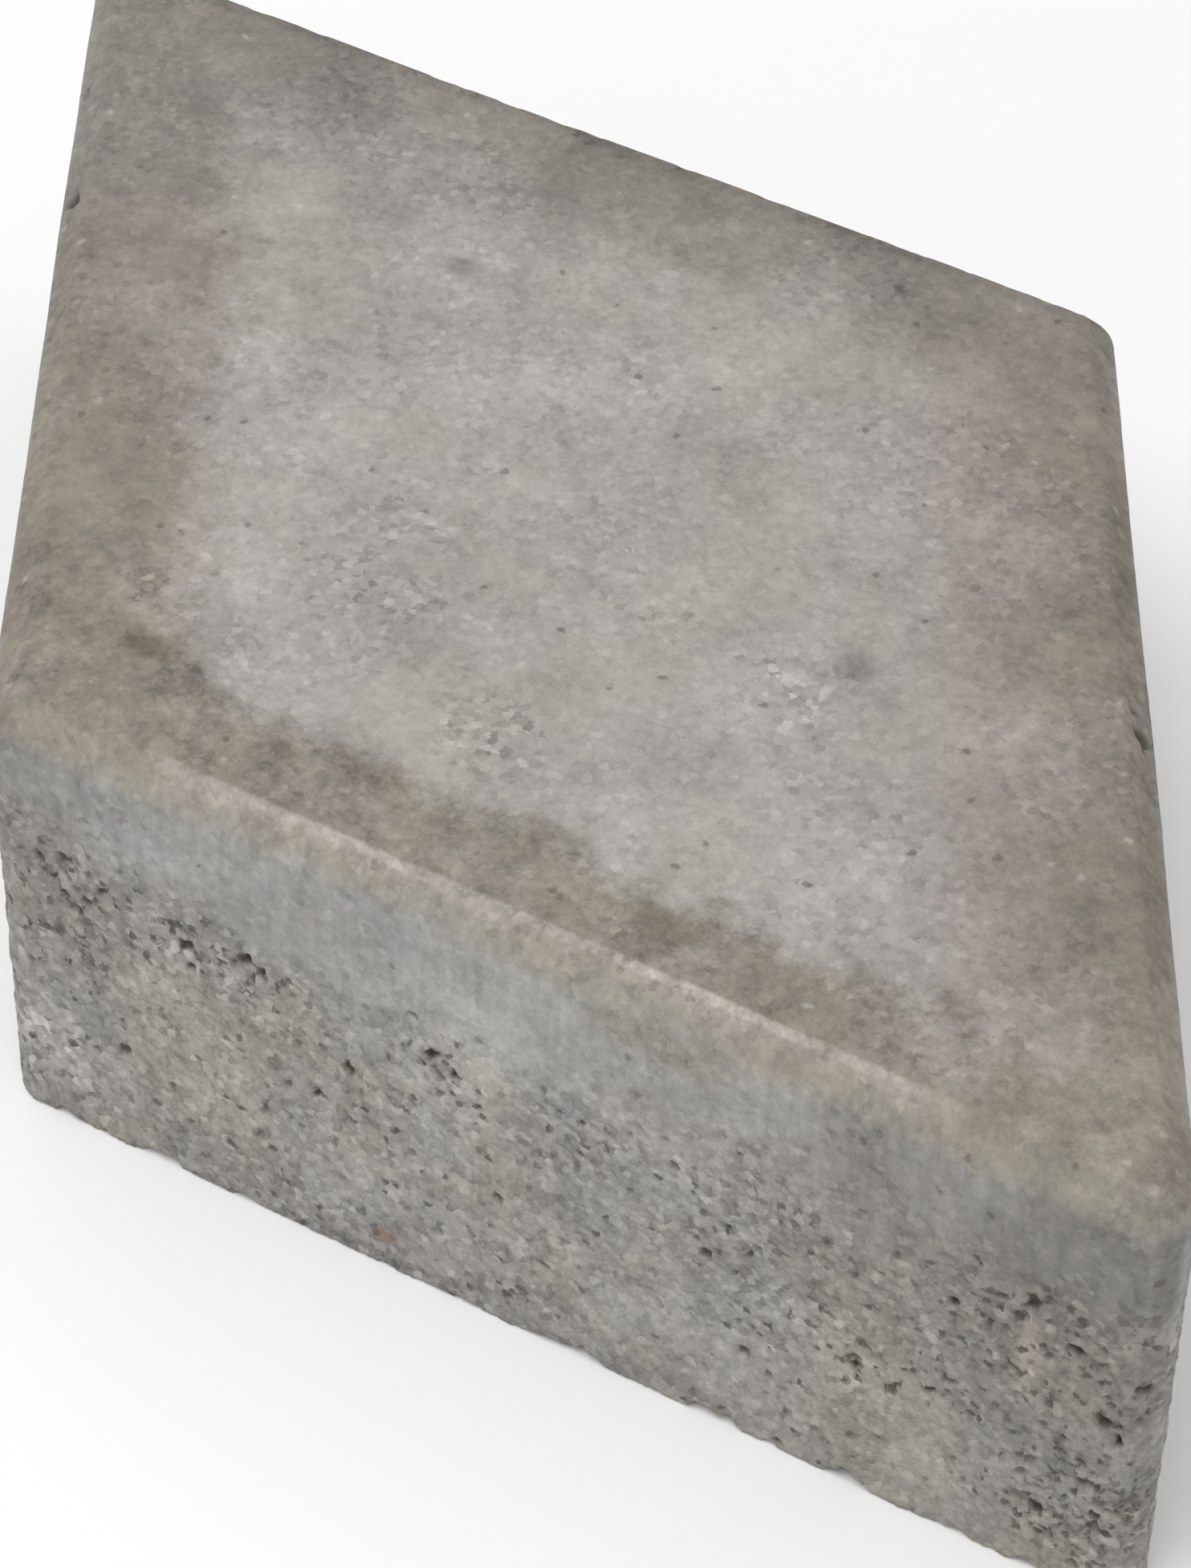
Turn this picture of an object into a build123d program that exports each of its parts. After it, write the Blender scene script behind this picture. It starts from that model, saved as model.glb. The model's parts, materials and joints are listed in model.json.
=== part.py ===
"""Rhombic concrete paver, pressed as one solid piece.

Sizes are in millimetres. The origin is at the centre of the bedding face, +Z points up to the
wearing face, +X runs along the long diagonal of the plan and +Y along the short one.
"""

import math
import os

from build123d import *

# Driving dimensions
side_length = 190.0  # wall length between the sharp corners of the plan
acute_angle = 60.0  # degrees, at both ends of the long diagonal
thickness = 80.0  # bedding face to wearing face
corner_radius = 6.0  # upright corners of the mould
chamfer_width = 4.5  # chamfer round the wearing face, measured in plan
chamfer_drop = 4.5  # the same chamfer, measured down the wall
shoulder_radius = 2.5  # where the chamfer turns down into the wall
crest_radius = 0.6  # where the wearing face turns into the chamfer

# Plan, with its sharp corners in order round the rhombus
half_angle = math.radians(acute_angle / 2)
half_long = side_length * math.cos(half_angle)
half_short = side_length * math.sin(half_angle)
plan_corners = [(half_long, 0), (0, half_short), (-half_long, 0), (0, -half_short)]

# Level of the chamfer's foot on the wall
shoulder_height = thickness - chamfer_drop


def edges_at(part, height):
    """The ring of edges of a part that lie at one height."""
    return part.edges().filter_by_position(Axis.Z, height, height)


with BuildPart() as paver:
    with BuildSketch() as plan:
        with BuildLine():
            Polyline(*plan_corners, close=True)
        make_face()
        fillet(plan.vertices(), radius=corner_radius)
    extrude(amount=thickness)

    # The press shoe leaves a chamfer all round the wearing face
    wearing_face = paver.faces().sort_by(Axis.Z)[-1]
    chamfer(
        wearing_face.edges(),
        length=chamfer_width,
        length2=chamfer_drop,
        reference=wearing_face,
    )

    # Both arrises of the chamfer are eased
    fillet(edges_at(paver, shoulder_height), radius=shoulder_radius)
    fillet(edges_at(paver, thickness), radius=crest_radius)

paver.part.label = "paver"

os.makedirs("parts", exist_ok=True)
export_step(paver.part, "parts/paver.step")
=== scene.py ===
"""Finish of a rhombic concrete paver: stained wearing face, worn crest with a painted highlight and porous
pressed walls with painted shade in their holes.

The solid gives the shape. Its skin is cut into fine cells, roughened with seeded noise, stones, pores and
chips, broken along the bottom arris and thinned again. Lengths are in millimetres, except on Blender's own
objects.
"""

import itertools
import json
import math
from types import SimpleNamespace

import bpy
import numpy as np
from mathutils import Matrix, Vector


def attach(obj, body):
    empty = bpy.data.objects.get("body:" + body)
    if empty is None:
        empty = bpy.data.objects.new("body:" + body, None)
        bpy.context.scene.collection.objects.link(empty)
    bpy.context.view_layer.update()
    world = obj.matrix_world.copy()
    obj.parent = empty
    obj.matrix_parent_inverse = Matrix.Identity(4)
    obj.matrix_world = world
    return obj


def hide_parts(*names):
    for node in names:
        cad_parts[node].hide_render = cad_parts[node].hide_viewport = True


MM = 0.001
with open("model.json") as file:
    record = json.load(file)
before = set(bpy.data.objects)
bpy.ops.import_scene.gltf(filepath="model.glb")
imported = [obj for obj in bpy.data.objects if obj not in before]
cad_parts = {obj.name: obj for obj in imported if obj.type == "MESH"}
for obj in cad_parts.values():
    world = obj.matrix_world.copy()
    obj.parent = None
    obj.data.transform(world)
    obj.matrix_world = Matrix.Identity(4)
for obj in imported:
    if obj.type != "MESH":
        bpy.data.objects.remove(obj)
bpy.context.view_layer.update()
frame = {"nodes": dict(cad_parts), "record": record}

# The block, from its stated faces
faces = {mount["name"]: mount for mount in frame["record"]["mounts"]}
FRONT = np.array(faces["joint_face_right_front"]["axis"])
RIGHT = np.array(faces["joint_face_right_back"]["axis"])
REACH = float(FRONT @ faces["joint_face_right_front"]["pos_m"]) / MM  # from the middle to each wall
TOP = faces["wearing_face"]["pos_m"][2] / MM
CHAMFER = 4.5  # plan width and drop of the chamfer round the wearing face
FRONT_RUN = np.array([-FRONT[1], FRONT[0], 0.0])  # along the front wall, to the right
SIDE = 190.0  # length of each wall between sharp corners
FRONT_START = -SIDE / 4  # place of the front wall's left corner along that run

# Skin of the block
CELL = 0.6
MOST_TRIANGLES = 196_000


def kind(height, size, seed):
    """A kind of relief: its height or depth, the size of its features and the seed of its noise."""
    return SimpleNamespace(height=height, size=size, seed=seed)


# Relief of the skin
WAVES = kind(0.20, 45.0, 61)
SMALL_STONES = kind(0.14, 2.6, 51)
LARGE_STONES = kind(0.12, 5.5, 53)
CREASES = kind(0.22, 3.5, 62)
CREASE_LEVEL = 0.3  # strength of noise at which a ridge turns into a hollow
DRAG_MARKS = kind(0.05, 1.6, 63)
DRAG_STRETCH = 30.0  # a drag mark is this much longer than wide
FACE_GRIT = kind(0.03, 4.0, 66)
BED_WAVES = kind(0.12, 14.0, 68)
BED_DROP = 0.3  # keeps the bedding face's waves inside the solid
CREST_NICKS = kind(0.22, 5.0, 81)

# Ragged bevel of the bottom arris, with the legs of its grit and of its larger bites
ARRIS_GRIT = kind(1.4, 4.2, 71)
ARRIS_BITES = kind(1.7, 9.0, 74)
ARRIS_WIDTH = 4.0  # no bevel reaches further than this from the arris
CORNER_SHARE = 0.4  # part of the legs that is left at the upright corners
CORNER_LENGTH = 9.0

# Holes of the coarse walls: voids, and gaps of two sizes where grains are missing
VOIDS = kind(0.6, 1.9, 41)
LARGE_GAPS = kind(1.1, 2.2, 42)
SMALL_GAPS = kind(0.7, 1.5, 43)
LEAST_GAPS = 0.01  # share of grains missing where the wall is dense
MORE_GAPS = 0.15  # share added where it is most porous
SMALL_GAPS_MORE = 1.5  # small grains are missing this much more often
HOLE_BEND = 0.8
HOLE_BEND_SIZE = 2.0
HOLE_BEND_SEEDS = (31, 33, 35)

# Foot of the smooth upper band: its usual height, and on the front wall by the distance along it
SMOOTH_BAND_FOOT = 58.0
FRONT_BAND_ALONG = (0.0, 14.0, 48.0, 72.0, 100.0, 140.0, 168.0, 190.0)
FRONT_BAND_FOOT = (66.0, 60.0, 54.0, 59.0, 65.0, 65.0, 62.0, 57.0)
BAND_SWAY = kind(7.0, 32.0, 11)
BAND_EDGE = kind(4.0, 9.0, 12)
BAND_BLUR = 6.0  # half height of the change from smooth to coarse
FRONT_BLUR = 9.0  # added to it in the middle of the front wall

# How far the front crest is worn pale and painted with a highlight, by the distance along it
WEAR_AND_HIGHLIGHT_ALONG = (20.0, 30.0, 42.0, 62.0, 72.0, 88.0, 104.0, 118.0, 134.0, 144.0, 154.0)
WEAR_AND_HIGHLIGHT_SHARE = (0.0, 0.28, 0.70, 0.70, 0.52, 0.52, 0.60, 1.05, 0.54, 0.56, 0.0)

# Density of the holes: everywhere, in random patches, and just below the smooth band
LEAST_POROUS = 0.20
RANDOM_PATCHES = kind(0.30, 26.0, 21)
FRONT_LESS = 0.6  # share of the random patches that the front wall does without, for its own patches
POROUS_BELOW_BAND = 0.12

# Porous patches of the front wall: along it from the left corner, height, half length, half height, density
POROUS_PATCHES = [
    (14.0, 53.0, 9.0, 7.0, 0.60),
    (37.0, 50.0, 14.0, 6.0, 0.65),
    (8.0, 36.0, 8.0, 22.0, 0.25),
    (16.0, 27.0, 9.0, 6.0, 0.20),
    (76.0, 48.0, 9.0, 9.0, 0.50),
    (121.0, 37.0, 9.0, 6.0, 0.28),
    (168.0, 45.0, 24.0, 14.0, 0.45),
    (176.0, 17.0, 13.0, 13.0, 0.75),
    (150.0, 28.0, 15.0, 6.0, 0.55),
]

# Single deep pores of the front wall: along it, height, radius, depth
DEEP_PORES = [
    (12.0, 56.0, 1.3, 1.7),
    (12.5, 53.0, 0.9, 1.2),
    (15.5, 49.0, 1.0, 1.3),
    (18.0, 52.5, 0.9, 1.1),
    (32.0, 49.5, 1.1, 1.5),
    (43.0, 52.0, 1.1, 1.8),
    (45.5, 51.0, 0.9, 1.4),
    (20.5, 21.0, 0.9, 0.9),
    (54.5, 31.0, 1.1, 1.2),
    (60.0, 40.0, 0.9, 0.9),
    (71.0, 56.0, 0.9, 1.1),
    (73.5, 49.5, 1.2, 1.6),
    (78.0, 47.5, 1.0, 1.4),
    (92.0, 16.5, 1.1, 1.1),
    (110.5, 12.5, 0.9, 1.2),
    (118.0, 34.5, 0.9, 1.0),
    (124.5, 38.5, 0.9, 1.0),
    (121.0, 42.0, 0.8, 0.9),
    (156.0, 47.5, 1.3, 1.8),
    (159.0, 58.0, 0.8, 1.1),
    (167.0, 54.0, 1.1, 1.3),
    (174.0, 49.0, 1.2, 1.9),
    (165.0, 40.0, 1.0, 1.3),
    (142.0, 27.5, 0.9, 1.1),
    (148.0, 25.5, 1.0, 1.2),
    (153.5, 27.5, 0.9, 1.5),
    (160.0, 26.5, 1.0, 1.1),
    (179.0, 37.0, 1.3, 2.1),
    (181.5, 34.5, 0.9, 1.7),
    (184.0, 45.5, 1.0, 1.7),
    (170.5, 13.5, 1.2, 2.0),
    (179.5, 17.5, 1.0, 1.4),
]

PORE_STRETCH = 1.35  # a pore is longer than round by this, and narrower
PORE_TURN = 2.4  # turn in radians from one pore of the list to the next

# Chips in the chamfer: x, y, height, radius, depth
CHIPS = [
    (80.3, 46.7, 77.0, 2.4, 1.5),
    (76.5, 48.6, 78.6, 1.7, 1.0),
    (83.0, 44.5, 76.5, 1.2, 0.9),
    (-103.0, -33.9, 77.5, 2.1, 1.5),
    (-128.5, -20.2, 77.5, 1.8, 1.4),
]


def smooth_step(low, high, value):
    """0 at low, 1 at high and eased between them; high may be the lower one."""
    share = np.clip((value - low) / (high - low), 0, 1)
    return share * share * (3 - 2 * share)


# Seeded noise for many points at once
TABLE = 512
CORNERS = list(itertools.product((0, 1), repeat=3))
NEIGHBOURS = list(itertools.product((-1, 0, 1), repeat=3))
NOISE_GAIN = 1.7  # brings the noise to about -1 to 1


def lattice_number(cells, table):
    """A scrambled number for each whole-number cell."""
    x, y, z = (cells % TABLE).T
    return table[(table[(table[x] + y) % TABLE] + z) % TABLE]


def noise(points, seed):
    """Smooth noise from about -1 to 1, with features about one unit wide."""
    chance = np.random.default_rng(seed)
    table = chance.permutation(TABLE)
    slopes = chance.normal(size=(TABLE, 3))
    slopes /= np.linalg.norm(slopes, axis=1, keepdims=True)
    cells = np.floor(points).astype(int)
    inside = points - cells
    ease = inside**3 * (inside * (inside * 6 - 15) + 10)
    total = np.zeros(len(points))
    for corner in np.array(CORNERS):
        slope = slopes[lattice_number(cells + corner, table)]
        weight = np.prod(np.where(corner, ease, 1 - ease), axis=1)
        total += weight * np.einsum("ij,ij->i", slope, inside - corner)
    return total * NOISE_GAIN


def rough(points, size, octaves, seed):
    """Noise of a given feature size with finer octaves added."""
    total = np.zeros(len(points))
    for octave in range(octaves):
        total += noise(points * 2**octave / size, seed + octave) / 2**octave
    return total


def raised(points, relief):
    """Height of one kind of rough relief."""
    return relief.height * rough(points, relief.size, 2, relief.seed)


def strewn(points, size, seed):
    """Way to the nearest of the grains strewn one to a cell, in cells, and that grain's index."""
    chance = np.random.default_rng(seed)
    table = chance.permutation(TABLE)
    offsets = chance.random((TABLE, 3))
    scaled = points / size
    cells = np.floor(scaled).astype(int)
    nearest = np.full(len(points), np.inf)
    way = np.zeros_like(points)
    grain = np.zeros(len(points), int)
    for step in np.array(NEIGHBOURS):
        index = lattice_number(cells + step, table)
        offset = cells + step + offsets[index] - scaled
        gap = np.linalg.norm(offset, axis=1)
        closer = gap < nearest
        nearest[closer] = gap[closer]
        way[closer] = offset[closer]
        grain[closer] = index[closer]
    return way, grain


def facets(points, stones):
    """Height of broken stones of one kind, each with a level and a slope of its own."""
    way, grain = strewn(points, stones.size, stones.seed)
    chance = np.random.default_rng(stones.seed + 1)
    level = chance.uniform(-0.6, 0.6, TABLE)
    slope = chance.normal(size=(TABLE, 3))
    return stones.height * (level[grain] + 0.5 * np.einsum("ij,ij->i", slope[grain], way))


def voids(points, density):
    """Depth of ragged voids, which join up where their density nears 1."""
    least = 1.05 - 0.85 * density  # noise above this is void
    return VOIDS.height * smooth_step(least, least + 0.35, rough(points, VOIDS.size, 3, VOIDS.seed))


def missing_grains(points, gaps, share):
    """Depth of the holes that a share of the grains of one kind have left, each hole with its own depth."""
    way, grain = strewn(points, gaps.size, gaps.seed)
    number = grain / TABLE
    depth = gaps.height * (0.45 + 0.55 * (number * 97 % 1))
    return (number < share) * depth * smooth_step(0.62, 0.28, np.linalg.norm(way, axis=1))


def bowl(gap):
    """Share of a hole's depth, by the distance from its middle in radii."""
    return smooth_step(1.1, 0.4, gap)


def fine_skin(node):
    """A new piece with a CAD node's surface, cut into even cells."""
    piece = bpy.data.objects.new("paver_concrete", node.data.copy())
    bpy.context.scene.collection.objects.link(piece)
    weld = piece.modifiers.new("weld", "WELD")
    weld.merge_threshold = 0.01 * MM
    remesh = piece.modifiers.new("cells", "REMESH")
    remesh.mode = "VOXEL"
    remesh.voxel_size = CELL * MM
    settle(piece)
    return piece


def settle(piece):
    """Turns a piece's modifiers into plain mesh."""
    graph = bpy.context.evaluated_depsgraph_get()
    mesh = bpy.data.meshes.new_from_object(piece.evaluated_get(graph))
    piece.modifiers.clear()
    piece.data = mesh


def read_vectors(collection, name):
    """One vector of each item of a mesh, as rows."""
    values = np.empty(len(collection) * 3, np.float32)
    collection.foreach_get(name, values)
    return values.reshape(-1, 3).astype(float)


def store(mesh, name, values):
    """Keeps one number for each point, for the material to read."""
    layer = mesh.attributes.new(name, "FLOAT", "POINT")
    layer.data.foreach_set("value", values.astype(np.float32))


def in_plan(points):
    """How far points lie towards the front and the right wall, and how far inside the nearest wall."""
    ahead = points @ FRONT
    beside = points @ RIGHT
    return ahead, beside, REACH - np.maximum(np.abs(ahead), np.abs(beside))


def locate(points, outward):
    """Where each point of the skin is on the block."""
    at = SimpleNamespace(points=points, height=points[:, 2])
    ahead, at.beside, at.inset = in_plan(points)
    at.from_corner = REACH - np.minimum(np.abs(ahead), np.abs(at.beside))
    at.along = points @ FRONT_RUN - FRONT_START
    level = outward[:, 2]
    at.wall = smooth_step(0.9, 0.5, np.abs(level)) * smooth_step(TOP - 3.0, TOP - 6.0, at.height)
    at.under = smooth_step(-0.5, -0.9, level)
    at.face = smooth_step(0.9, 0.98, level)
    at.front = smooth_step(REACH - 3, REACH - 2, ahead) * at.wall
    return at


def find_coarse(at):
    """Adds where the walls are coarse, below the smooth band, and how porous they are there."""
    foot = SMOOTH_BAND_FOOT + BAND_SWAY.height * noise(at.points / BAND_SWAY.size, BAND_SWAY.seed)
    on_front = np.interp(at.along, FRONT_BAND_ALONG, FRONT_BAND_FOOT)
    foot += (on_front - foot) * at.front + raised(at.points, BAND_EDGE)
    middle_of_front = at.front * smooth_step(70, 95, at.along) * smooth_step(172, 150, at.along)
    blur = BAND_BLUR + FRONT_BLUR * middle_of_front
    upper = foot + BAND_BLUR
    at.coarse = smooth_step(upper, upper - 2 * blur, at.height) * at.wall

    patches = smooth_step(0.0, 0.6, noise(at.points / RANDOM_PATCHES.size, RANDOM_PATCHES.seed))
    density = LEAST_POROUS + RANDOM_PATCHES.height * patches * (1 - FRONT_LESS * at.front)
    below_band = smooth_step(8, 2, np.abs(at.height - foot + 5))
    density += POROUS_BELOW_BAND * below_band * (1 - at.front)
    for middle, level, half_length, half_height, added in POROUS_PATCHES:
        spread = np.hypot((at.along - middle) / half_length, (at.height - level) / half_height)
        density += added * smooth_step(1.3, 0.4, spread) * at.front
    at.density = density * at.coarse


def hollow_out(at):
    """Depth of every hole: ragged voids, missing grains, single deep pores and chips."""
    push = np.stack([rough(at.points, HOLE_BEND_SIZE, 2, seed) for seed in HOLE_BEND_SEEDS], axis=1)
    bent = at.points + HOLE_BEND * push
    share = LEAST_GAPS + MORE_GAPS * smooth_step(0.25, 1.1, at.density)
    hollow = voids(at.points, at.density - 0.1)
    hollow = np.maximum(hollow, missing_grains(bent, LARGE_GAPS, share))
    hollow = np.maximum(hollow, missing_grains(bent, SMALL_GAPS, SMALL_GAPS_MORE * share))
    hollow *= smooth_step(0.1, 0.5, at.coarse)
    bent_along = bent @ FRONT_RUN - FRONT_START
    for index, (middle, level, radius, depth) in enumerate(DEEP_PORES):
        turn = index * PORE_TURN
        across = np.cos(turn) * (bent_along - middle) + np.sin(turn) * (bent[:, 2] - level)
        down = np.cos(turn) * (bent[:, 2] - level) - np.sin(turn) * (bent_along - middle)
        gap = np.hypot(across / PORE_STRETCH, down * PORE_STRETCH) / radius
        hollow = np.maximum(hollow, depth * bowl(gap) * at.front)
    for x, y, level, radius, depth in CHIPS:
        gap = np.linalg.norm(bent - (x, y, level), axis=1) / radius
        hollow = np.maximum(hollow, depth * bowl(gap))
    return hollow


def roughen(at):
    """Height of the skin above the solid before its holes: waves, grit, drag marks and a worn crest."""
    points = at.points
    relief = raised(points, WAVES)
    creases = CREASES.height * (CREASE_LEVEL - np.abs(rough(points, CREASES.size, 2, CREASES.seed)))
    relief += at.coarse * (facets(points, SMALL_STONES) + facets(points, LARGE_STONES) + creases)
    drawn = np.stack([at.along, at.beside, at.height / DRAG_STRETCH], axis=1)
    drag = DRAG_MARKS.height * noise(drawn / DRAG_MARKS.size, DRAG_MARKS.seed)
    relief += (at.wall - at.coarse) * drag
    relief += at.face * raised(points, FACE_GRIT)
    relief += at.under * (raised(points, BED_WAVES) - BED_DROP)
    crest = smooth_step(1.8, 0.2, np.abs(at.inset - CHAMFER)) * smooth_step(TOP - 4, TOP - 2, at.height)
    nicks = smooth_step(-0.1, 0.7, rough(points, CREST_NICKS.size, 2, CREST_NICKS.seed))
    return relief - crest * CREST_NICKS.height * nicks


def break_arris(at, moved):
    """Moves what lies past a ragged bevel of the bottom arris back to that bevel."""
    near = np.flatnonzero((at.height < ARRIS_WIDTH) & (at.inset < ARRIS_WIDTH))
    points = moved[near]
    ahead, beside, inset = in_plan(points)
    to_front_or_back = np.sign(ahead)[:, None] * FRONT
    to_either_side = np.sign(beside)[:, None] * RIGHT
    outward = np.where((np.abs(ahead) > np.abs(beside))[:, None], to_front_or_back, to_either_side)
    arris = (points + inset[:, None] * outward) * (1.0, 1.0, 0.0)
    grit = smooth_step(-0.1, 0.6, rough(arris, ARRIS_GRIT.size, 3, ARRIS_GRIT.seed))
    bites = smooth_step(0.1, 0.5, noise(arris / ARRIS_BITES.size, ARRIS_BITES.seed))
    legs = ARRIS_GRIT.height * grit + ARRIS_BITES.height * bites
    legs *= CORNER_SHARE + (1 - CORNER_SHARE) * smooth_step(0.0, CORNER_LENGTH, at.from_corner[near])
    cut = np.maximum(legs - inset - points[:, 2], 0) / 2
    moved[near] += cut[:, None] * ((0.0, 0.0, 1.0) - outward)


def weather(piece):
    """Moves the skin to its real roughness and keeps what the colours depend on."""
    mesh = piece.data
    points = read_vectors(mesh.vertices, "co") / MM
    outward = read_vectors(mesh.vertex_normals, "vector")
    at = locate(points, outward)
    find_coarse(at)
    hollow = hollow_out(at)
    moved = points + outward * (roughen(at) - hollow)[:, None]
    moved[:, 2] = np.maximum(moved[:, 2], 0)
    break_arris(at, moved)
    mesh.vertices.foreach_set("co", (moved * MM).astype(np.float32).ravel())
    store(mesh, "coarse", np.maximum(at.coarse, at.under))
    store(mesh, "hollow", hollow)
    store(mesh, "porous", at.density)
    # Share of wear and painted highlight along the front crest
    store(mesh, "worn", np.interp(at.along, WEAR_AND_HIGHLIGHT_ALONG, WEAR_AND_HIGHLIGHT_SHARE))
    mesh.update()


def thin(piece):
    """Joins cells where the skin is flat, down to the most triangles that a piece may have."""
    triangles = sum(len(polygon.vertices) - 2 for polygon in piece.data.polygons)
    fewer = piece.modifiers.new("thin", "DECIMATE")
    fewer.ratio = MOST_TRIANGLES / triangles
    settle(piece)
    piece.data.shade_smooth()


class Graph:
    """A material's nodes, with a short call for each kind used here. Lengths are in millimetres."""

    def __init__(self, name):
        self.material = bpy.data.materials.new(name)
        self.material.use_nodes = True
        self.tree = self.material.node_tree
        self.shader = self.tree.nodes["Principled BSDF"]
        place = self.tree.nodes.new("ShaderNodeTexCoord").outputs["Object"]
        self.place = self.vector("MULTIPLY", place, (1 / MM, 1 / MM, 1 / MM))

    def feed(self, socket, value):
        """Links a socket to another one, or sets its number or colour."""
        if isinstance(value, bpy.types.NodeSocket):
            self.tree.links.new(value, socket)
        else:
            socket.default_value = value

    def vector(self, operation, first, second=(0.0, 0.0, 0.0)):
        node = self.tree.nodes.new("ShaderNodeVectorMath")
        node.operation = operation
        self.feed(node.inputs[0], first)
        self.feed(node.inputs[1], second)
        return node.outputs["Value" if operation in ("DOT_PRODUCT", "DISTANCE") else "Vector"]

    def along(self, axis):
        """Distance from the origin along an axis."""
        return self.vector("DOT_PRODUCT", self.place, tuple(axis))

    def math(self, operation, *values):
        node = self.tree.nodes.new("ShaderNodeMath")
        node.operation = operation
        for socket, value in zip(node.inputs, values):
            self.feed(socket, value)
        return node.outputs[0]

    def plus(self, *values):
        total = values[0]
        for value in values[1:]:
            total = self.math("ADD", total, value)
        return total

    def times(self, *values):
        total = values[0]
        for value in values[1:]:
            total = self.math("MULTIPLY", total, value)
        return total

    def ramp(self, value, low, high, start=0.0, end=1.0):
        """start at low, end at high and eased between them."""
        node = self.tree.nodes.new("ShaderNodeMapRange")
        node.interpolation_type = "SMOOTHSTEP"
        for name, setting in {"Value": value, "From Min": low, "From Max": high}.items():
            self.feed(node.inputs[name], setting)
        node.inputs["To Min"].default_value = start
        node.inputs["To Max"].default_value = end
        return node.outputs["Result"]

    def noise(self, size, detail=2.0, roughness=0.5, shift=0.0, stretch=(1, 1, 1)):
        """Noise from 0 to 1 with features of a given size."""
        node = self.tree.nodes.new("ShaderNodeTexNoise")
        moved = self.vector("MULTIPLY_ADD", self.place, tuple(1 / part for part in stretch))
        moved.node.inputs[2].default_value = (shift, shift * 1.7, shift * 0.6)
        self.feed(node.inputs["Vector"], moved)
        node.inputs["Scale"].default_value = 1 / size
        node.inputs["Detail"].default_value = detail
        node.inputs["Roughness"].default_value = roughness
        return node.outputs["Fac"]

    def stirred(self, size, amount):
        """The place, pushed about by noise of a given feature size."""
        push = self.noise(size, 1.0).node.outputs["Color"]
        moved = self.vector("MULTIPLY_ADD", push, (amount, amount, amount))
        self.feed(moved.node.inputs[2], self.place)
        return moved

    def swing(self, amount, *noise_settings, **more):
        """Noise about zero, to plus and minus about the amount."""
        return self.times(self.math("SUBTRACT", self.noise(*noise_settings, **more), 0.5), 4 * amount)

    def grains(self, place, size):
        """Distance to the middle of the nearest grain, in grains, and a random number for that grain."""
        node = self.tree.nodes.new("ShaderNodeTexVoronoi")
        self.feed(node.inputs["Vector"], place)
        node.inputs["Scale"].default_value = 1 / size
        number = self.math("FRACT", self.vector("DOT_PRODUCT", node.outputs["Color"], (1.0, 1.0, 1.0)))
        return node.outputs["Distance"], number

    def spot(self, place, middle, halves, bend):
        """1 in the middle of an oval spot with a bent outline, 0 outside it."""
        scale = tuple(1 / half for half in halves) + (0.0,)
        centre = tuple(part / half for part, half in zip(middle, halves)) + (0.0,)
        away = self.vector("DISTANCE", self.vector("MULTIPLY", place, scale), centre)
        return self.ramp(self.plus(away, bend), 0.2, 1.1, 1.0, 0.0)

    def pair(self, first, second):
        """Two distances as one flat place."""
        node = self.tree.nodes.new("ShaderNodeCombineXYZ")
        self.feed(node.inputs[0], first)
        self.feed(node.inputs[1], second)
        return node.outputs[0]

    def attribute(self, name):
        node = self.tree.nodes.new("ShaderNodeAttribute")
        node.attribute_name = name
        return node.outputs["Fac"]

    def mix(self, share, first, second):
        """The first colour, with a share of the second."""
        node = self.tree.nodes.new("ShaderNodeMix")
        node.data_type = "RGBA"
        self.feed(node.inputs["Factor"], share)
        for socket, colour in ((node.inputs[6], first), (node.inputs[7], second)):
            self.feed(socket, colour)
        return node.outputs[2]

    def shade(self, colour, factor):
        """A colour times a number."""
        return self.vector("MULTIPLY", colour, factor)


def linear(red, green, blue):
    """A colour given in screen values from 0 to 255, as the renderer counts it."""
    parts = [value / 255 for value in (red, green, blue)]
    return tuple(p / 12.92 if p < 0.04 else ((p + 0.055) / 1.055) ** 2.4 for p in parts) + (1.0,)


# Colours of the wearing face and its border
PALE_FACE = linear(162, 158, 152)
COOL_FACE = linear(161, 158, 155)
WHITE_BLOOM = linear(171, 167, 162)
MAUVE_FACE = linear(154, 146, 141)
BROWN_STAIN = linear(142, 134, 122)
OLIVE_STAIN = linear(140, 134, 122)
MAUVE_STAIN = linear(144, 136, 129)
GREY_STAIN = linear(138, 133, 127)
DAMP = linear(98, 90, 76)
PALE_SPOT = linear(178, 175, 169)
GREY_SPOT = linear(112, 108, 103)
BEIGE_CHAMFER = linear(155, 149, 139)
TAN_CHAMFER = linear(147, 140, 128)
OLIVE_CHAMFER = linear(147, 145, 131)
DULL_CHAMFER = linear(139, 135, 123)
# Worn crest, painted lighter also as a highlight
WORN_CREST_HIGHLIGHT = linear(182, 175, 167)

# Colours of the walls
SMOOTH_WALL = linear(158, 156, 152)
PALE_WALL = linear(166, 163, 160)
BLUE_WALL = linear(156, 156, 154)
SLATE_WALL = linear(124, 122, 119)
WARM_WALL = linear(155, 151, 144)
COOL_WALL = linear(152, 150, 147)
# Grime, also the colour of the painted shade at the right end of the front wall
WALL_GRIME_AND_SHADE = linear(110, 105, 99)
# Dirt and painted shade for holes, pits and dark specks
VOID_SHADE_AND_DIRT = linear(80, 74, 66)
RUST = linear(142, 112, 90)
PALE_STREAK = linear(164, 157, 148)

# Stained border of the wearing face: full up to the first distance from the wall, gone at the second
STAIN_FRONT = (14.0, 23.0)
STAIN_LEFT = (20.0, 38.0)
STAIN_RIGHT = (10.0, 31.0)
STAIN_BACK = (11.0, 35.0)

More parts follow.
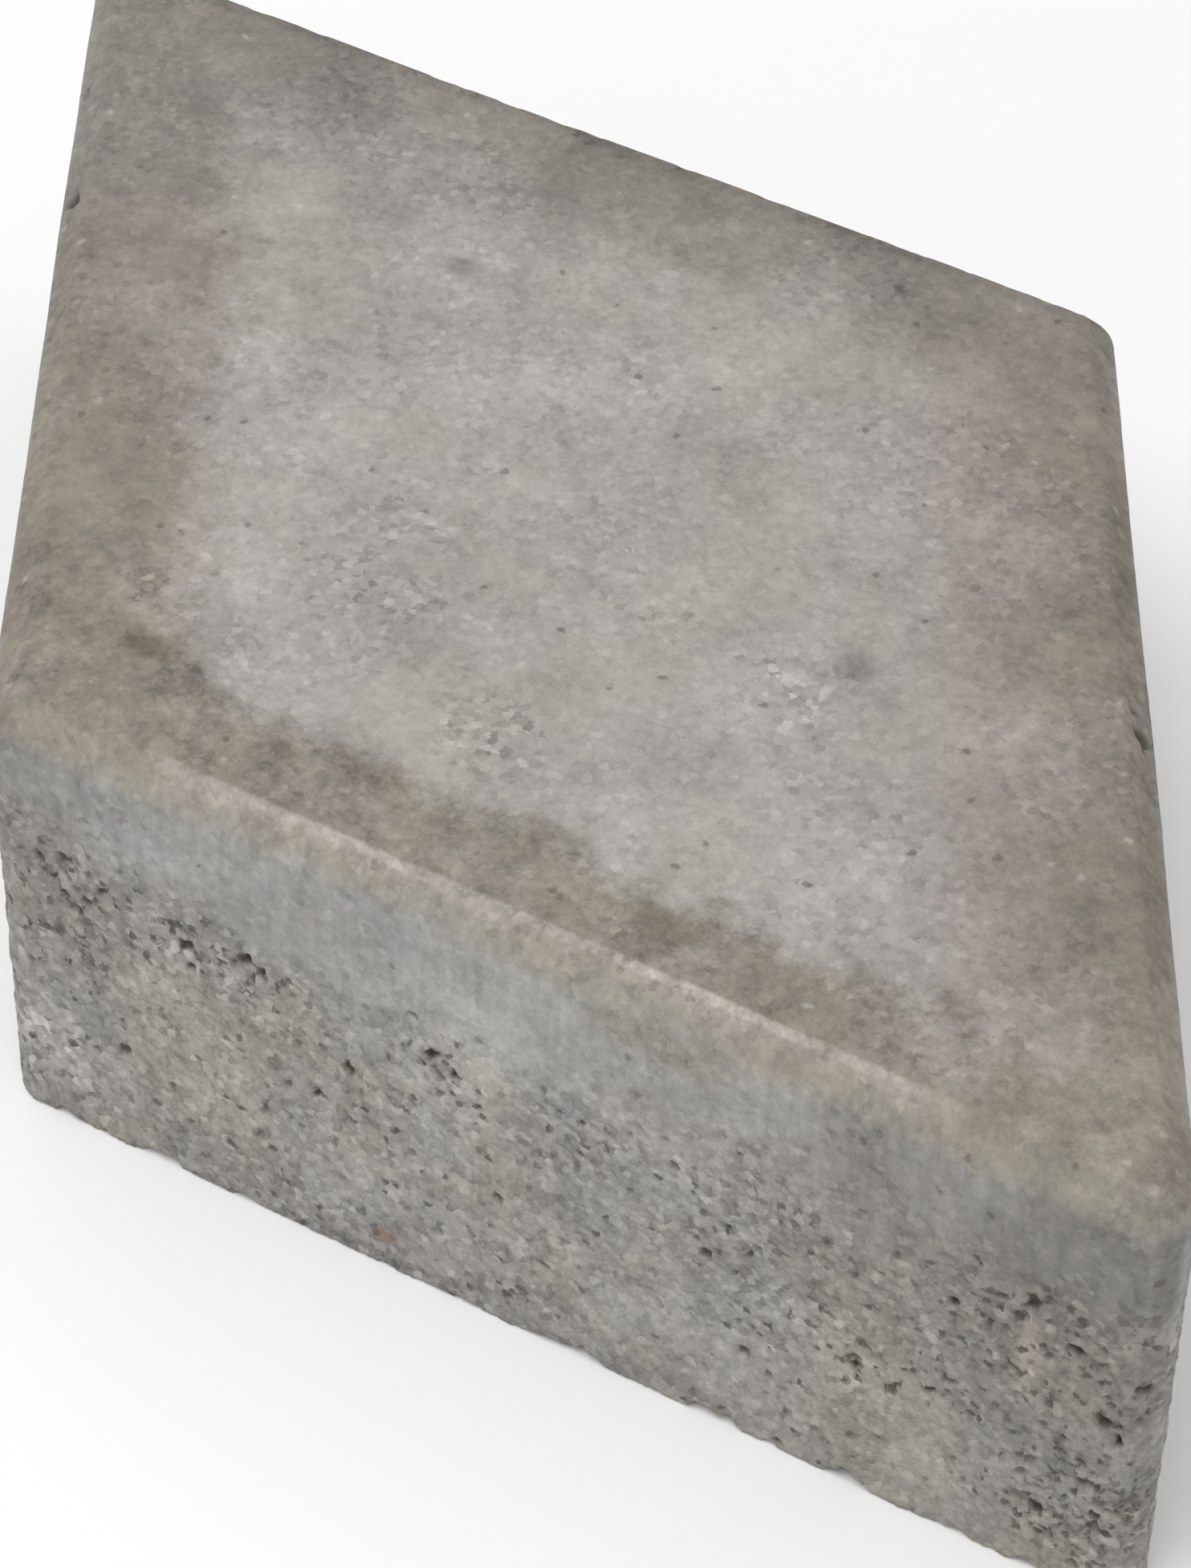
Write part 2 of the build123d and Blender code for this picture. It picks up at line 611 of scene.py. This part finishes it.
# Marks on the wearing face: x, y, half length along the front wall, half width, colour, strength
FACE_MARKS = [
    (5.0, -31.8, 34.0, 28.0, GREY_STAIN, 0.15),
    (50.0, 0.0, 15.0, 12.0, WHITE_BLOOM, 0.9),
    (-25.0, 14.4, 14.0, 12.0, WHITE_BLOOM, 0.95),
    (-50.0, -28.9, 10.0, 16.0, WHITE_BLOOM, 0.7),
    (-0.8, -68.4, 6.0, 4.5, DAMP, 0.65),
    (12.5, -65.3, 7.0, 3.5, DAMP, 0.55),
    (32.7, -65.7, 7.0, 5.5, PALE_FACE, 0.38),
    (41.4, -60.7, 6.0, 4.0, DAMP, 0.22),
    (76.4, -41.3, 24.0, 3.8, DAMP, 0.22),
    (35.3, -53.7, 9.0, 4.0, DAMP, 0.50),
    (60.5, -37.1, 9.0, 4.0, DAMP, 0.45),
    (82.5, -32.0, 11.0, 5.0, DAMP, 0.42),
    (113.6, -5.8, 8.0, 5.0, DAMP, 0.32),
    (-25.0, -14.4, 13.0, 11.0, GREY_STAIN, 0.28),
    (0.0, -57.7, 13.0, 10.0, GREY_STAIN, 0.28),
    (125.0, 14.4, 11.0, 9.0, DAMP, 0.14),
    (-0.5, -78.5, 10.0, 9.0, DAMP, 0.12),
    (-56.6, 11.2, 4.5, 4.0, GREY_SPOT, 0.55),
    (-54.3, 15.4, 3.5, 3.5, PALE_SPOT, 0.55),
    (-47.7, 10.0, 4.0, 2.0, PALE_SPOT, 0.45),
    (51.2, 17.4, 4.0, 4.0, GREY_SPOT, 0.40),
]
FACE_BEND = 0.08  # how far the outlines of these marks are bent

# Spots of the wearing face where single light and dark grains show: x, y, half length, half width, strength
SPECKLED_SPOTS = [
    (2.3, -35.6, 15.0, 9.0, 2.1),
    (-7.7, -22.3, 9.0, 8.0, 1.26),
    (38.8, -35.3, 11.0, 9.0, 2.1),
    (27.8, -2.0, 9.0, 8.0, 1.26),
    (51.0, 7.1, 10.0, 10.0, 1.89),
    (-12.3, -64.4, 6.0, 6.0, 1.89),
]

# Marks on the front wall: along it, height, half length, half height, colour, strength
WALL_MARKS = [
    (28.0, 66.0, 13.0, 6.0, BLUE_WALL, 0.8),
    (173.0, 66.0, 26.0, 11.0, SLATE_WALL, 0.85),
    (110.0, 72.0, 16.0, 5.0, TAN_CHAMFER, 0.6),
    (152.0, 72.0, 16.0, 5.0, SLATE_WALL, 0.15),
    (52.0, 66.0, 16.0, 7.0, PALE_WALL, 0.5),
    (9.0, 14.0, 16.0, 10.0, PALE_WALL, 0.8),
    (37.0, 50.0, 15.0, 7.0, PALE_WALL, 0.4),
    (113.0, 51.0, 21.0, 8.0, PALE_WALL, 0.75),
    (45.0, 35.0, 16.0, 8.0, WALL_GRIME_AND_SHADE, 0.18),
    (119.0, 36.0, 9.0, 6.0, WALL_GRIME_AND_SHADE, 0.30),
    (130.0, 15.0, 20.0, 7.0, WALL_GRIME_AND_SHADE, 0.15),
    (65.4, 6.6, 3.2, 2.6, RUST, 0.55),
    (167.0, 42.0, 2.6, 12.0, PALE_STREAK, 0.7),
]
WALL_BEND = 0.06

# Sizes of the sand, grains and stones that the colours show
SAND = 1.6
GRAIN = 1.3
STONE = 2.1
MEAN_GRIT = 0.46  # painted shade darkens the crevices below this much grit, and painted light lightens the grains above it

# Strengths on smooth skin and on the coarse walls
CLOUDS = (1.6, 2.0)
DRAG_STREAKS = (0.09, 0.05)
GRAIN_CONTRAST = (0.11, 0.24)
STONE_CONTRAST = (0.06, 0.14)
# Strength of the painted shade in the crevices and the painted light on the grains
CREVICE_SHADE_AND_GRAIN_LIGHT = (0.20, 0.75)
# Dirt and painted shade in the pits too small for the mesh
PIT_SHADE_AND_DIRT = (0.3, 0.7)
GRIT_BUMP = (0.35, 1.0)

# How much darker the border is to the right and left, and the face to the back
DARK_RIGHT = 0.075
DARK_LEFT = 0.02
DARK_BACK = 0.06

# How much painted shade darkens the other three chamfers
CHAMFER_SHADE_RIGHT = 0.045
CHAMFER_SHADE_LEFT = 0.05
CHAMFER_SHADE_BACK = 0.13

# Single dark specks, painted as the shade of tiny pits, and light specks, as shares of the stones, and how
# far they cover the colour below
DARK_SPECKS = 0.018
LIGHT_SPECKS = 0.02
SPECK_STRENGTH = 0.5

# Gloss and bump of the skin
ROUGHNESS = (0.82, 0.96)
SPECULAR = 0.3
BUMP_STRENGTH = 0.9
BUMP_HEIGHT = 0.5
PIT_DEPTH = 0.5  # in bump heights


def survey(g):
    """What the colours depend on at each place of the skin."""
    here = SimpleNamespace()
    here.ahead = g.along(FRONT)
    here.beside = g.along(RIGHT)
    here.height = g.along((0.0, 0.0, 1.0))
    from_middle = g.along(FRONT_RUN)
    here.run = g.math("SUBTRACT", from_middle, FRONT_START)
    nearest = g.math("MAXIMUM", g.math("ABSOLUTE", here.ahead), g.math("ABSOLUTE", here.beside))
    here.inset = g.math("SUBTRACT", REACH, nearest)
    here.toward_front = g.ramp(here.ahead, REACH - 8.0, REACH - 6.0)
    here.face = g.ramp(here.height, TOP - 1.0, TOP - 0.2)
    here.coarse = g.attribute("coarse")
    here.hollow = g.attribute("hollow")
    here.porous = g.attribute("porous")
    here.worn = g.attribute("worn")
    here.sand = g.noise(SAND, 5.0, 0.7)
    bent = g.stirred(1.1, 1.2)
    here.grain_gap, here.grain_number = g.grains(bent, GRAIN)
    here.stone_gap, here.stone_number = g.grains(bent, STONE)
    here.grit = g.plus(here.sand, g.times(here.grain_number, 0.25), g.times(here.grain_gap, -0.3))
    here.broad = g.noise(24, 2.0, shift=4.0)
    here.patch = g.noise(28, 2.0, shift=14.0)
    here.fine = g.swing(1.0, 6, 6.0, 0.8, shift=9.0)
    here.bend = g.plus(g.swing(1.8, 22, 1.0), g.times(here.fine, 4.5))
    here.on_face = g.pair(from_middle, here.ahead)
    here.face_bend = g.times(here.bend, FACE_BEND)
    return here


def face_spot(g, here, x, y, halves):
    """1 in the middle of a spot of the wearing face, 0 outside it."""
    place = np.array([x, y, TOP])
    return g.spot(here.on_face, (place @ FRONT_RUN, place @ FRONT), halves, here.face_bend)


def by_skin(g, here, strengths):
    """A strength between the one on smooth skin and the one on the coarse walls."""
    on_smooth, on_coarse = strengths
    return g.ramp(here.coarse, 0.0, 1.0, on_smooth, on_coarse)


def stain_share(g, here):
    """How far the wearing face is stained, from each wall inward."""
    stain = 0.0
    for across, sign, (full, gone) in (
        (here.ahead, -1, STAIN_FRONT),
        (here.ahead, 1, STAIN_BACK),
        (here.beside, -1, STAIN_RIGHT),
        (here.beside, 1, STAIN_LEFT),
    ):
        inward = g.plus(g.math("MULTIPLY_ADD", across, sign, REACH), here.bend)
        stain = g.math("MAXIMUM", stain, g.ramp(inward, full, gone, 1.0, 0.0))
    return stain


def face_colours(g, here, stain):
    """The wearing face with its stained border, the chamfer and the worn crest between them, with a painted
    highlight on the crest.
    """
    tint = g.mix(g.ramp(here.broad, 0.44, 0.60), BROWN_STAIN, OLIVE_STAIN)
    tint = g.mix(g.ramp(here.patch, 0.48, 0.64), tint, MAUVE_STAIN)
    to_far_left = g.plus(here.ahead, g.times(here.beside, 0.35))
    tint = g.mix(g.ramp(to_far_left, -15.0, -60.0, 0.0, 0.85), tint, GREY_STAIN)
    pale = g.mix(g.ramp(here.patch, 0.4, 0.6), PALE_FACE, COOL_FACE)
    by_right = g.ramp(g.plus(here.beside, here.bend), REACH - 39.0, REACH - 25.0, 0.0, 0.9)
    colour = g.mix(stain, g.mix(by_right, pale, MAUVE_FACE), tint)

    # The bloom whitens only what is clean
    clean = g.math("SUBTRACT", 1.0, stain)
    for x, y, half_length, half_width, mark, strength in FACE_MARKS:
        share = face_spot(g, here, x, y, (half_length, half_width))
        share = g.times(share, clean) if mark == WHITE_BLOOM else share
        colour = g.mix(g.times(share, strength), colour, mark)

    beige = g.mix(g.ramp(here.broad, 0.42, 0.60), BEIGE_CHAMFER, TAN_CHAMFER)
    green = g.times(g.ramp(here.patch, 0.46, 0.58), g.ramp(here.inset, 3.5, 1.5))
    beige = g.mix(g.times(green, 0.45), beige, OLIVE_CHAMFER)
    beige = g.mix(g.ramp(here.run, 148.0, 165.0, 0.0, 0.85), beige, DULL_CHAMFER)
    colour = g.mix(here.face, g.mix(here.toward_front, tint, beige), colour)

    # The crest is worn and carries a painted highlight along its line and, more faintly, on the chamfer
    # below it
    past_crest = g.plus(here.inset, -CHAMFER + 0.1, g.times(here.fine, 0.25))
    worn = g.ramp(g.math("ABSOLUTE", past_crest), 0.3, 1.15, 1.0, 0.0)
    below = g.times(g.ramp(past_crest, -3.6, -0.3, 0.0, 0.5), g.ramp(past_crest, -0.2, 0.7, 1.0, 0.0))
    worn = g.times(g.math("MAXIMUM", worn, below), here.worn, here.toward_front)
    return g.mix(g.times(worn, g.ramp(here.sand, 0.3, 0.55, 0.75, 1.1)), colour, WORN_CREST_HIGHLIGHT)


def wall_colours(g, here):
    """The walls: a smooth band with blue patches above coarse concrete, with grime, rust, streaks and
    painted shade at the right end of the front wall.
    """
    smooth = g.mix(g.ramp(here.broad, 0.5, 0.7), SMOOTH_WALL, BLUE_WALL)
    coarse = g.mix(g.ramp(here.broad, 0.40, 0.60), WARM_WALL, COOL_WALL)
    colour = g.mix(here.coarse, smooth, coarse)

    # Grime gathers at the left end of the front wall and in patches; the right end is darker, partly damp
    # and partly painted shade, and every wall gets darker towards its foot
    front = g.ramp(here.ahead, REACH - 5.0, REACH - 3.0)
    right_end_damp_and_shade = g.times(g.ramp(here.run, 115.0, 168.0), g.ramp(here.height, 5.0, 60.0, 0.09, 0.48))
    left_end = g.times(g.ramp(here.run, 32.0, 4.0), g.ramp(here.height, 15.0, 45.0, 0.0, 0.36))
    patches = g.ramp(here.patch, 0.46, 0.68, 0.0, 0.14)
    foot = g.plus(g.ramp(here.height, 12.0, 2.0, 0.0, 0.10), g.ramp(here.height, 32.0, 20.0, 0.0, 0.05))
    grime_and_shade = g.plus(g.times(g.plus(right_end_damp_and_shade, left_end), front), patches, foot)
    colour = g.mix(grime_and_shade, colour, WALL_GRIME_AND_SHADE)

    on_front = g.pair(here.run, here.height)
    bend = g.times(here.bend, WALL_BEND)
    for middle, level, half_length, half_height, mark, strength in WALL_MARKS:
        share = g.spot(on_front, (middle, level), (half_length, half_height), bend)
        colour = g.mix(g.times(share, front, strength), colour, mark)
    return colour


def speckled(g, here):
    """How much more the grains show, by the speckled spots of the wearing face."""
    total = 0.0
    for x, y, half_length, half_width, strength in SPECKLED_SPOTS:
        share = face_spot(g, here, x, y, (half_length, half_width))
        total = g.plus(total, g.times(share, here.face, strength))
    return total


def mottle(g, here, stain):
    """Light and dark about 1: cloudiness, darker edges with painted shade on the chamfers, drag marks,
    single grains and painted shade and light on the grit.
    """
    cloud = g.math("SUBTRACT", g.noise(40, 7.0, 0.85), 0.5)
    value = g.plus(1.0, g.times(cloud, by_skin(g, here, CLOUDS)))
    speckle = g.times(here.fine, stain, here.face, g.ramp(here.ahead, 30.0, 70.0, 0.08, 0.34))
    blotches = g.times(here.fine, g.ramp(here.face, 0.0, 1.0, 0.10, 0.05))
    value = g.plus(value, speckle, blotches)

    # The border is darker to the right and left, and the face a little darker to the back
    toward_right = g.times(g.ramp(here.beside, 35.0, 65.0, 0.0, DARK_RIGHT), g.ramp(here.ahead, 60.0, 35.0))
    toward_left = g.ramp(here.beside, -30.0, -70.0, 0.0, DARK_LEFT)
    border = g.times(g.plus(toward_right, toward_left), stain)
    toward_back = g.times(g.ramp(here.ahead, 0.0, -70.0, 0.0, DARK_BACK), g.ramp(here.beside, 75.0, 40.0))
    toward_back = g.times(toward_back, here.face)
    value = g.math("SUBTRACT", value, g.plus(border, toward_back))

    # Painted shade along the other three chamfers
    edge = g.times(g.ramp(here.inset, 8.2, 5.8), g.ramp(here.height, TOP - 9.0, TOP - 5.0))
    chamfer_shade = g.plus(
        g.ramp(here.beside, REACH - 12.0, REACH - 7.0, 0.0, CHAMFER_SHADE_RIGHT),
        g.ramp(here.beside, 12.0 - REACH, 7.0 - REACH, 0.0, CHAMFER_SHADE_LEFT),
        g.ramp(here.ahead, 12.0 - REACH, 7.0 - REACH, 0.0, CHAMFER_SHADE_BACK),
    )
    value = g.math("SUBTRACT", value, g.times(edge, chamfer_shade))

    # Upright streaks from the mould, off the wearing face
    drag = g.swing(1.0, 1.4, 2.0, shift=31.0, stretch=(1, 1, 10))
    drag = g.times(drag, by_skin(g, here, DRAG_STREAKS))
    value = g.plus(value, g.times(drag, g.math("SUBTRACT", 1.0, here.face)))

    # Few grains and stones are far from the mean, and those few show most
    patchy = g.plus(g.ramp(here.patch, 0.42, 0.62, 0.7, 1.5), speckled(g, here))
    for number, strengths in ((here.grain_number, GRAIN_CONTRAST), (here.stone_number, STONE_CONTRAST)):
        side = g.math("MULTIPLY_ADD", number, 2.0, -1.0)
        contrast = g.times(patchy, by_skin(g, here, strengths))
        value = g.plus(value, g.times(side, side, side, contrast))
    # Painted shade in the crevices between grains and painted light on the grains
    painted_grit_shading = g.math("SUBTRACT", here.grit, MEAN_GRIT)
    return g.plus(value, g.times(painted_grit_shading, by_skin(g, here, CREVICE_SHADE_AND_GRAIN_LIGHT)))


def concrete():
    """Pressed concrete: pale face, stained border, worn crest with a painted highlight, smooth band and
    coarse walls, with painted shade in holes, crevices and on three chamfers.
    """
    g = Graph("concrete")
    here = survey(g)
    stain = stain_share(g, here)
    wall_top = g.plus(here.height, g.times(here.bend, 0.35))
    wall = g.ramp(wall_top, TOP - 6.3, TOP - 2.3, 1.0, 0.0)
    colour = g.mix(wall, face_colours(g, here, stain), wall_colours(g, here))
    colour = g.shade(colour, mottle(g, here, stain))

    # Single dark specks, painted as the shade of tiny pits, and light specks
    dot = g.ramp(here.stone_gap, 0.40, 0.22)
    dark = g.times(g.math("LESS_THAN", here.stone_number, DARK_SPECKS), dot)
    light = g.times(g.math("GREATER_THAN", here.stone_number, 1 - LIGHT_SPECKS), dot)
    colour = g.mix(g.times(dark, SPECK_STRENGTH), colour, VOID_SHADE_AND_DIRT)
    colour = g.mix(g.times(light, SPECK_STRENGTH), colour, PALE_SPOT)

    # Pits where single grains are missing, too small for the mesh, and dirt and painted shade in them and
    # in the larger holes
    share = g.times(g.ramp(here.porous, 0.1, 1.0, 0.015, 0.26), g.ramp(here.coarse, 0.1, 0.6))
    pit = g.times(g.math("LESS_THAN", here.grain_number, share), g.ramp(here.grain_gap, 0.5, 0.3))
    colour = g.mix(g.times(pit, by_skin(g, here, PIT_SHADE_AND_DIRT)), colour, VOID_SHADE_AND_DIRT)
    # Dirt and painted shade in the holes of the mesh, darker the deeper they are
    colour = g.mix(g.ramp(here.hollow, 0.1, 1.1, 0.0, 0.85), colour, VOID_SHADE_AND_DIRT)

    g.feed(g.shader.inputs["Base Color"], colour)
    g.feed(g.shader.inputs["Roughness"], g.ramp(here.sand, 0.3, 0.7, *ROUGHNESS))
    g.shader.inputs["Specular IOR Level"].default_value = SPECULAR

    bump = g.tree.nodes.new("ShaderNodeBump")
    bump.inputs["Strength"].default_value = BUMP_STRENGTH
    bump.inputs["Distance"].default_value = BUMP_HEIGHT * MM
    grit = g.times(here.grit, by_skin(g, here, GRIT_BUMP))
    g.feed(bump.inputs["Height"], g.math("SUBTRACT", grit, g.times(pit, PIT_DEPTH)))
    g.feed(g.shader.inputs["Normal"], bump.outputs["Normal"])
    return g.material


def build_paver():
    """The paver's skin in place of its CAD node."""
    node = frame["nodes"]["paver"]
    piece = fine_skin(node)
    weather(piece)
    thin(piece)
    piece.data.materials.clear()
    piece.data.materials.append(concrete())
    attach(piece, "root")
    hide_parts("paver")


# Camera, fitted to the outline of the block in the photo
AIM = Vector((18.45, -6.37, 40.0)) * MM
VIEW_AZIMUTH = math.radians(59.95)
VIEW_ELEVATION = math.radians(43.88)
VIEW_ROLL = math.radians(1.144)
VIEW_DISTANCE = 739.6 * MM
LENS = 113.44
SENSOR = 36.0

# Studio, in metres: floor, light all round and one large soft light
FLOOR_HALF = 3.0
FLOOR_COLOUR = (0.97, 0.97, 0.97, 1)
FLOOR_ROUGHNESS = 0.9
AMBIENT_COLOUR = (1, 1, 1, 1)
AMBIENT_STRENGTH = 0.7
KEY_AZIMUTH = math.radians(10)
KEY_ELEVATION = math.radians(68)
KEY_DISTANCE = 1.5
KEY_SIZE = 1.0
KEY_POWER = 9.6


def direction(azimuth, elevation):
    """From the block towards a place round it; azimuth 0 is in front, on the -Y side."""
    level = math.cos(elevation)
    return Vector((math.sin(azimuth) * level, -math.cos(azimuth) * level, math.sin(elevation)))


def facing_back(toward):
    """The turn of a camera or light that looks back from a direction."""
    return toward.to_track_quat("Z", "Y").to_matrix()


def place_camera():
    """A camera at the photo's viewing angle."""
    data = bpy.data.cameras.new("camera")
    data.lens = LENS
    data.sensor_width = SENSOR
    camera = bpy.data.objects.new("camera", data)
    toward = direction(VIEW_AZIMUTH, VIEW_ELEVATION)
    turn = facing_back(toward) @ Matrix.Rotation(VIEW_ROLL, 3, "Z")
    camera.matrix_world = Matrix.Translation(AIM + toward * VIEW_DISTANCE) @ turn.to_4x4()
    bpy.context.scene.collection.objects.link(camera)
    bpy.context.scene.camera = camera


def place_key_light():
    """A large soft light from high in front."""
    data = bpy.data.lights.new("key", "AREA")
    data.shape = "DISK"
    data.size = KEY_SIZE
    data.energy = KEY_POWER
    light = bpy.data.objects.new("key", data)
    toward = direction(KEY_AZIMUTH, KEY_ELEVATION)
    light.matrix_world = Matrix.Translation(toward * KEY_DISTANCE) @ facing_back(toward).to_4x4()
    bpy.context.scene.collection.objects.link(light)


def build_studio():
    """A wide pale floor, soft light all round and the key light."""
    mesh = bpy.data.meshes.new("floor")
    corners = [(x * FLOOR_HALF, y * FLOOR_HALF, 0) for x, y in ((-1, -1), (1, -1), (1, 1), (-1, 1))]
    mesh.from_pydata(corners, [], [(0, 1, 2, 3)])
    floor = bpy.data.objects.new("floor", mesh)
    bpy.context.scene.collection.objects.link(floor)
    paint = bpy.data.materials.new("pale_floor")
    paint.use_nodes = True
    shader = paint.node_tree.nodes["Principled BSDF"]
    shader.inputs["Base Color"].default_value = FLOOR_COLOUR
    shader.inputs["Roughness"].default_value = FLOOR_ROUGHNESS
    mesh.materials.append(paint)

    world = bpy.data.worlds.new("studio")
    world.use_nodes = True
    background = world.node_tree.nodes["Background"]
    background.inputs["Color"].default_value = AMBIENT_COLOUR
    background.inputs["Strength"].default_value = AMBIENT_STRENGTH
    bpy.context.scene.world = world
    bpy.context.scene.view_settings.view_transform = "Standard"
    place_key_light()


build_paver()
build_studio()
place_camera()
